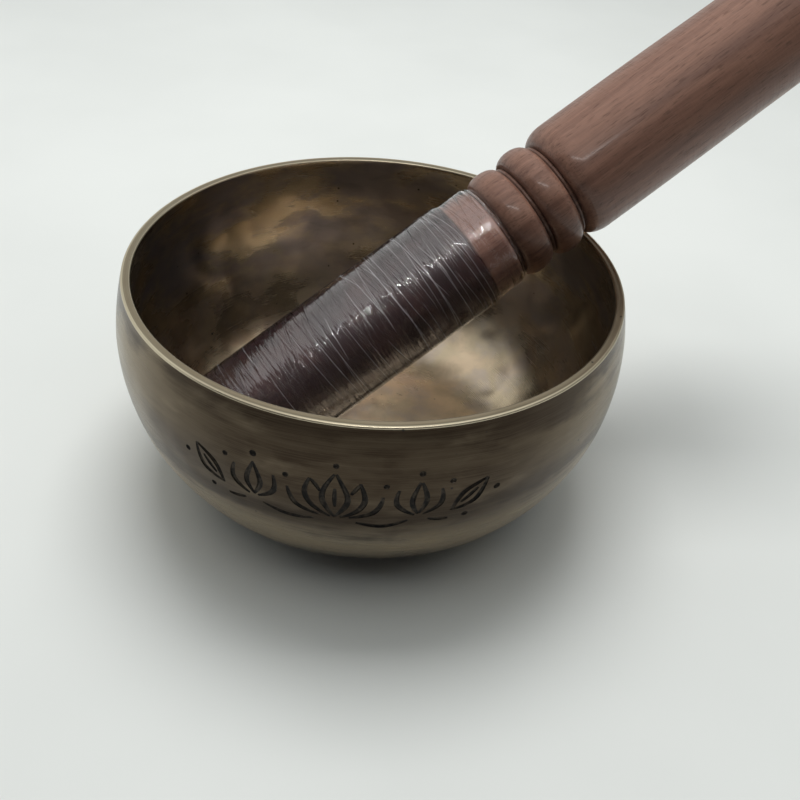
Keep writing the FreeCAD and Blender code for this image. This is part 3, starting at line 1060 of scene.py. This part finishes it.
def buildThreads():
    # thin threads lying on the film along its creases, each part of the way round and a little slanted; their
    # white is painted highlight
    chance = random.Random(23)
    s = malletSizes
    surface = s["leather"] + filmSizes["gap"] + filmSizes["thickness"]
    curves = bpy.data.curves.new("filmThreads", "CURVE")
    curves.dimensions = "3D"
    curves.bevel_depth = threadSizes["radius"]
    curves.bevel_resolution = 1
    curves.use_fill_caps = True
    clear = threadSizes["ends"]
    first, last = s["leatherStart"] + clear[0], s["leatherEnd"] - clear[1]
    stations = [first + (last - first) * chance.random() for i in range(threadSizes["loose"])]
    stations += [last - threadSizes["crowd"] * chance.random() ** 1.6 for i in range(threadSizes["tight"])]
    for station in stations:
        start, span = chance.uniform(0, 2 * math.pi), chance.uniform(*threadSizes["span"])
        slant = chance.gauss(0.4, 1.0) * threadSizes["slant"] * surface
        spline = curves.splines.new("NURBS")
        spline.points.add(threadSizes["points"] - 1)
        for index, point in enumerate(spline.points):
            share = index / (threadSizes["points"] - 1)
            angle = start + span * share
            height = station + slant * (share - 0.5) + threadSizes["wave"] * math.sin(5 * share + start)
            height = min(last + 1 * mm, max(first - 1 * mm, height))
            point.co = (surface * math.cos(angle), surface * math.sin(angle), height, 1)
            point.radius = 0.25 + chance.uniform(0.6, 1.0) * math.sin(math.pi * share) ** 0.6
        spline.order_u = 3
        spline.use_endpoint_u = True
        spline.resolution_u = 3
    threads = bpy.data.objects.new("filmThreads", curves)
    bpy.context.scene.collection.objects.link(threads)
    pick(threads)
    bpy.ops.object.convert(target="MESH")
    threads = bpy.context.object
    threads.data.materials.clear()
    threads.data.materials.append(makeCreaseGlintPaint())
    bpy.ops.object.mode_set(mode="EDIT")
    bpy.ops.mesh.select_all(action="SELECT")
    bpy.ops.mesh.remove_doubles(threshold=0.0005 * mm)
    bpy.ops.mesh.normals_make_consistent(inside=False)
    bpy.ops.object.mode_set(mode="OBJECT")
    bpy.ops.object.shade_smooth()
    layDown(threads)
    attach(threads, "mallet")
    print("threads drawn", len(threads.data.polygons), "faces")
    return threads


filmThreads = buildThreads()


# floor, light and camera

studio = {
    "floorSize": 6.0,
    "floorColour": (0.75, 0.77, 0.755),
    "floorCloud": (0.715, 0.735, 0.72),
    "tent": (0.62, 0.645, 0.63),     # white walls and ceiling of the light tent
    "shadyWall": (0.26, 0.275, 0.265),
    "ceiling": (0.84, 0.86, 0.85),
    "front": (0.030, 0.028, 0.029),  # the open side
    "backdrop": (0.72, 0.74, 0.73),
}


def buildFloor():
    deselectAll()
    bpy.ops.mesh.primitive_plane_add(size=studio["floorSize"], location=(0, 0, 0))
    floor = bpy.context.object
    floor.name = "studioFloor"
    material, tree, shader = newMaterial("paleFloor")
    place = addNode(tree, "ShaderNodeTexCoord").outputs["Object"]
    cloud = addNoise(tree, place, 9.0, 3.0)
    colour = mixColours(tree, spread(tree, cloud, 0.3, 0.7), studio["floorColour"], studio["floorCloud"])
    tree.links.new(colour, shader.inputs["Base Color"])
    shader.inputs["Roughness"].default_value = 0.55
    floor.data.materials.append(material)


def buildWorld():
    world = bpy.data.worlds.new("softTent")
    world.use_nodes = True
    bpy.context.scene.world = world
    tree = world.node_tree
    background = tree.nodes["Background"]
    direction = addNode(tree, "ShaderNodeTexCoord").outputs["Generated"]
    parts = splitPlace(tree, direction)
    # white behind, beside and overhead, dim through the open front
    up = mathNode(tree, "MAXIMUM", parts[2], 0.0)
    aside = mathNode(tree, "ABSOLUTE", parts[0])
    reach = mathNode(tree, "MAXIMUM", mathNode(tree, "MULTIPLY", up, 0.52),
                     mathNode(tree, "MULTIPLY", aside, 0.22))
    inside = spread(tree, mathNode(tree, "ADD", parts[1], reach), -0.015, 0.025)
    walls = mixColours(tree, spread(tree, parts[0], -0.2, 0.8), studio["tent"], studio["shadyWall"])
    walls = mixColours(tree, spread(tree, parts[2], 0.6, 0.8), walls, studio["ceiling"])
    colour = mixColours(tree, inside, studio["front"], walls)
    seen = addNode(tree, "ShaderNodeLightPath").outputs["Is Camera Ray"]
    colour = mixColours(tree, seen, colour, studio["backdrop"])
    tree.links.new(colour, background.inputs["Color"])
    background.inputs["Strength"].default_value = 1.0


lamps = {
    "topSoftbox": {
        "place": (-0.02, 0.22, 0.74), "width": 0.45, "height": 0.35, "power": 3.9,
        "colour": (1.0, 0.995, 0.98), "mirrored": False},
    "glintStrip": {
        "place": (0.0, -0.22, 0.44), "width": 0.24, "height": 0.003, "power": 0.30,
        "colour": (1.0, 1.0, 0.98), "mirrored": True},
}


def addSoftbox(name, aim, place, width, height, power, colour, mirrored):
    # a mirrored lamp shows only in glossy and clear surfaces, any other one only lights matt ones
    light = bpy.data.lights.new(name, "AREA")
    light.shape = "RECTANGLE"
    light.size = width
    light.size_y = height
    light.energy = power
    light.color = colour
    lamp = bpy.data.objects.new(name, light)
    bpy.context.scene.collection.objects.link(lamp)
    lamp.location = place
    lamp.rotation_euler = (Vector(aim) - Vector(place)).to_track_quat("-Z", "Y").to_euler()
    lamp.visible_glossy = mirrored
    lamp.visible_transmission = mirrored
    lamp.visible_diffuse = not mirrored


def buildLights():
    for name, settings in lamps.items():
        addSoftbox(name, (0, 0, 0.05), **settings)


cameraPose = {
    "place": (0.0, -0.20765, 0.18484),
    "heading": 2.494,            # degrees right of straight ahead
    "pitch": 39.06,              # degrees down
    "roll": 5.284,
    "lens": 42.75,
}


def buildCamera():
    lens = bpy.data.cameras.new("camera")
    lens.lens = cameraPose["lens"]
    lens.sensor_width = 36
    lens.clip_start = 0.01
    camera = bpy.data.objects.new("camera", lens)
    bpy.context.scene.collection.objects.link(camera)
    turn = (Matrix.Rotation(-math.radians(cameraPose["heading"]), 4, "Z")
            @ Matrix.Rotation(math.radians(90 - cameraPose["pitch"]), 4, "X")
            @ Matrix.Rotation(math.radians(cameraPose["roll"]), 4, "Z"))
    camera.matrix_world = Matrix.Translation(cameraPose["place"]) @ turn
    bpy.context.scene.camera = camera


buildFloor()
buildWorld()
buildLights()
buildCamera()
bpy.context.scene.view_settings.view_transform = "Standard"
print("stage set")
